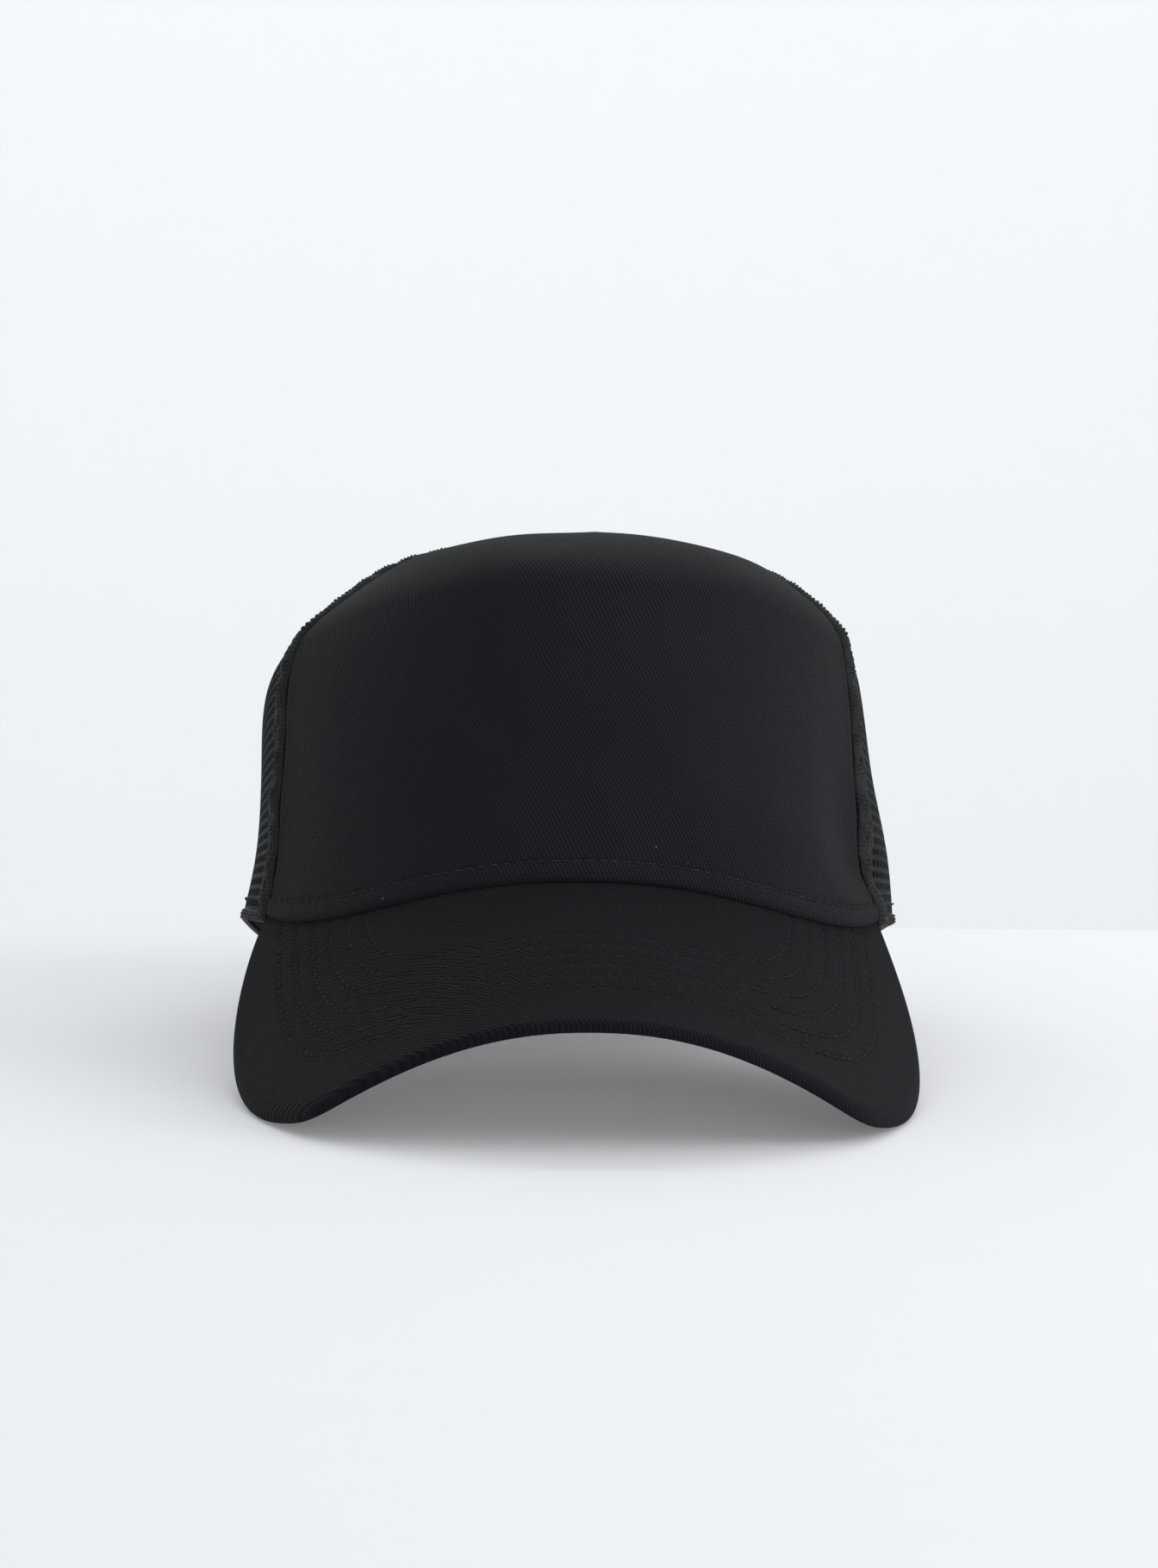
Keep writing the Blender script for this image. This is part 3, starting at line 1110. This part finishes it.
def make_strap(name, side, holes, nodes):
    """One moulded strip: the sewn tab, the flex line and the free strap, with rounded edges."""
    loops = strap_loops(holes)
    insets = [loop - loop_normals(loop) * EDGE_ROUND for loop in loops]
    spread_x = np.arange(-STRAP_TIP_X + 1, TAB_END_X - 0.6, 0.7)
    spread_z = np.arange(STRAP_LOW + 1, STRAP_LOW + STRAP_WIDTH - 0.8, 0.7)
    spread_x, spread_z = np.meshgrid(spread_x, spread_z, indexing="ij")
    inside = np.stack([spread_x.ravel(), spread_z.ravel()], -1)
    inside = inside[on_strap(inside, holes, STRAP_CORNER - EDGE_ROUND - 0.4, HOLE_EDGE + 0.3)]
    flat = np.concatenate(insets + [inside])
    edges, first = [], 0
    for loop in insets:
        n = len(loop)
        edges += [(first + i, first + (i + 1) % n) for i in range(n)]
        first += n
    made = delaunay_2d_cdt([Vector(v) for v in flat], edges, [], 0, 1e-6)
    flat = np.array([tuple(v) for v in made[0]])
    triangles = np.array([f for f in made[2] if len(f) == 3])
    corners = flat[triangles]
    keep = on_strap(corners.mean(1), holes, STRAP_CORNER - EDGE_ROUND * 0.9, HOLE_EDGE * 0.99)
    # long slivers along the outline are not part of the strap
    keep &= np.linalg.norm(corners - np.roll(corners, 1, 1), axis=-1).max(1) < 4
    triangles = triangles[keep]

    x, z = flat[:, 0], flat[:, 1]
    relief = 0.10 * bump(np.abs(z - STRAP_MIDDLE) - (STRAP_WIDTH / 2 - 1.6), 0.45) * (x < FLEX_X + 1)
    for place_x in holes:
        relief = relief + 0.12 * bump(np.hypot(x - place_x, z - STRAP_MIDDLE) - 3.3, 0.35)
    relief = relief - 0.22 * bump(x - FLEX_X, 0.6)
    facing = STRAP / 2 + (relief if side > 0 else -0.22 * bump(x - FLEX_X, 0.6))
    total = len(flat)
    points = [strap_surface(x, z, facing, side), strap_surface(x, z, -STRAP / 2 + 0 * x, side)]
    faces = triangles.tolist() + (triangles[:, ::-1] + total).tolist()
    start = 2 * total
    lookup = {tuple(np.round(v, 4)): i for i, v in enumerate(flat)}
    for loop, inset in zip(loops, insets):
        n = len(loop)
        first_ring = np.array([lookup[tuple(np.round(v, 4))] for v in inset])
        rings = [first_ring]
        for a in np.linspace(0, pi, 7)[1:-1]:
            plan_x, plan_z = (inset + (loop - inset) * sin(a)).T
            lift = STRAP / 2 * cos(a)
            if abs(cos(a)) >= 0.9:
                lift = (STRAP / 2 - EDGE_ROUND * 0.13) * np.sign(cos(a))
            points.append(strap_surface(plan_x, plan_z, lift + 0 * plan_x, side))
            rings.append(start + np.arange(n))
            start += n
        rings.append(first_ring + total)
        for upper, lower in zip(rings, rings[1:]):
            after_upper, after_lower = np.roll(upper, -1), np.roll(lower, -1)
            faces += np.stack([upper, lower, after_lower, after_upper], -1).tolist()
    strip = make_object(name, place(np.concatenate(points)), faces, snap_plastic, body=None,
                        slot="snap_plastic")
    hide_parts(*nodes)
    height, level_out = np.array(STRAP_MIDDLE), np.array(0.0)
    start_point = place(strap_surface(np.array(FLEX_X + 3.0), height, level_out, side))
    end_point = place(strap_surface(np.array(FLEX_X - 3.0), height, level_out, side))
    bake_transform(strip)


def peg_places(side):
    """X of each peg or hole: PEGS_IN_USE are shared, the rest run on towards the strap's root."""
    first = -side * PEG_PITCH * (PEGS_IN_USE - 1) / 2
    return [first + side * PEG_PITCH * n for n in range(PEG_COUNT)]


def make_pegs():
    """Pegs with a slight waist and a rounded head, standing out from the inner strap."""
    profile = [(2.25, 0.0), (1.85, 0.25), (1.72, 0.8), (1.74, 1.5), (1.92, 2.0), (2.0, 2.35), (1.9, 2.7),
               (1.55, 2.92), (0.9, 3.0)]
    sides = 32
    a = np.linspace(0, 2 * pi, sides, endpoint=False)
    points, faces = [], []
    base_y = strap_plan(-1) + STRAP / 2 - 0.1
    for x in peg_places(-1):
        start = sum(len(p) for p in points)
        for r, out in profile:
            y = np.full(sides, base_y + out)
            points.append(np.stack([x + r * np.cos(a), y, STRAP_MIDDLE + r * np.sin(a)], -1))
        for k in range(len(profile) - 1):
            for i in range(sides):
                j = (i + 1) % sides
                low, high = start + k * sides, start + (k + 1) * sides
                faces.append((low + i, low + j, high + j, high + i))
        faces.append(tuple(start + i for i in range(sides))[::-1])
        faces.append(tuple(start + (len(profile) - 1) * sides + i for i in range(sides)))
    make_object("peg_strap_pegs", place(np.concatenate(points)), faces, snap_plastic, body="peg_strap",
                slot="snap_plastic")


make_strap("hole_strap_strip", 1, peg_places(1), ["hole_strap_tab", "hole_strap"])
make_strap("peg_strap_strip", -1, [], ["peg_strap_tab", "peg_strap"])
make_pegs()

# ---- CAD parts that stay ----
kept = {"brim_board": board_plastic, "button_rivet": rivet_metal}
for node, material in kept.items():
    mesh = frame["nodes"][node].data
    mesh.materials.clear()
    mesh.materials.append(material)

# ---- stage, light and camera ----
TABLE_BACK = 0.225            # y of the table's far edge


def plain_material(name, value, glow):
    """Matt studio white that glows a little, as it catches light from the whole room."""
    n = Nodes(name, Roughness=0.9, Emission_Color=(*value, 1), Emission_Strength=glow)
    grain = n.noise(n.place(), 40.0, 2.0)
    n.into("Base Color", n.colour(grain, tuple(v * 0.99 for v in value), value))
    return n.material


def staged_plane(name, corners, material):
    mesh = bpy.data.meshes.new(name)
    mesh.from_pydata(corners, [], [(0, 1, 2, 3)])
    mesh.materials.append(material)
    plane = bpy.data.objects.new(name, mesh)
    show(plane)
    return plane


staged_plane("table", [(-3, -4, 0), (3, -4, 0), (3, TABLE_BACK, 0), (-3, TABLE_BACK, 0)],
             plain_material("table_white", (0.72, 0.726, 0.744), 0.15))
staged_plane("backdrop", [(-6, 2.6, -2), (6, 2.6, -2), (6, 2.6, 4), (-6, 2.6, 4)],
             plain_material("backdrop_white", (0.745, 0.758, 0.765), 0.12))
staged_plane("room_floor", [(-6, -6, -0.8), (6, -6, -0.8), (6, 6, -0.8), (-6, 6, -0.8)],
             plain_material("room_white", (0.76, 0.785, 0.79), 0.30))


def area_light(name, location, target, size, power, colour=(1, 1, 1)):
    data = bpy.data.lights.new(name, "AREA")
    data.shape = "RECTANGLE"
    data.size, data.size_y = size
    data.energy = power
    data.color = colour
    light = bpy.data.objects.new(name, data)
    light.location = location
    aim(light, target)
    show(light)


def aim(thing, target):
    direction = Vector(target) - Vector(thing.location)
    thing.rotation_euler = direction.to_track_quat("-Z", "Y").to_euler()


area_light("front_soft", (0.2, -2.6, 0.50), (0, 0, 0.02), (2.8, 0.9), 32)
area_light("overhead_soft", (0.1, 0.2, 1.7), (0, 0, 0), (2.4, 2.0), 4)
area_light("right_soft", (1.5, -0.5, 0.7), (0, 0, 0.08), (1.0, 1.0), 13)
area_light("backdrop_light", (0, 1.2, 2.2), (0, 2.6, 0.3), (4.0, 0.8), 30)
world = bpy.data.worlds.new("studio")
bpy.context.scene.world = world
world.use_nodes = True
world.node_tree.nodes["Background"].inputs[0].default_value = (0.95, 0.98, 1.0, 1)
world.node_tree.nodes["Background"].inputs[1].default_value = 0.60
bpy.context.scene.view_settings.view_transform = "Standard"

CAMERA_DISTANCE, CAMERA_TURN, CAMERA_RISE, CAMERA_ROLL = 1.5, -0.045, 0.1331, 0.016
CAMERA_ASIDE, CAMERA_OVER = 0.0016, 0.0039
camera_data = bpy.data.cameras.new("camera")
camera_data.lens = 131.6
camera = bpy.data.objects.new("camera", camera_data)
ahead = [-sin(CAMERA_TURN) * cos(CAMERA_RISE), cos(CAMERA_TURN) * cos(CAMERA_RISE), -sin(CAMERA_RISE)]
ahead = np.array(ahead)
aside = np.array([cos(CAMERA_TURN), sin(CAMERA_TURN), 0])
over = np.cross(aside, ahead)
target = np.array([0, -0.040, 0.070]) + [0, ORIGIN[1], ORIGIN[2] - 0.0261]
eye = target - ahead * CAMERA_DISTANCE
target = target + aside * CAMERA_ASIDE + over * CAMERA_OVER
camera.location = eye
aim(camera, target)
camera.rotation_euler = (camera.rotation_euler.to_matrix() @ Matrix.Rotation(CAMERA_ROLL, 3, "Z")).to_euler()
show(camera)
bpy.context.scene.camera = camera
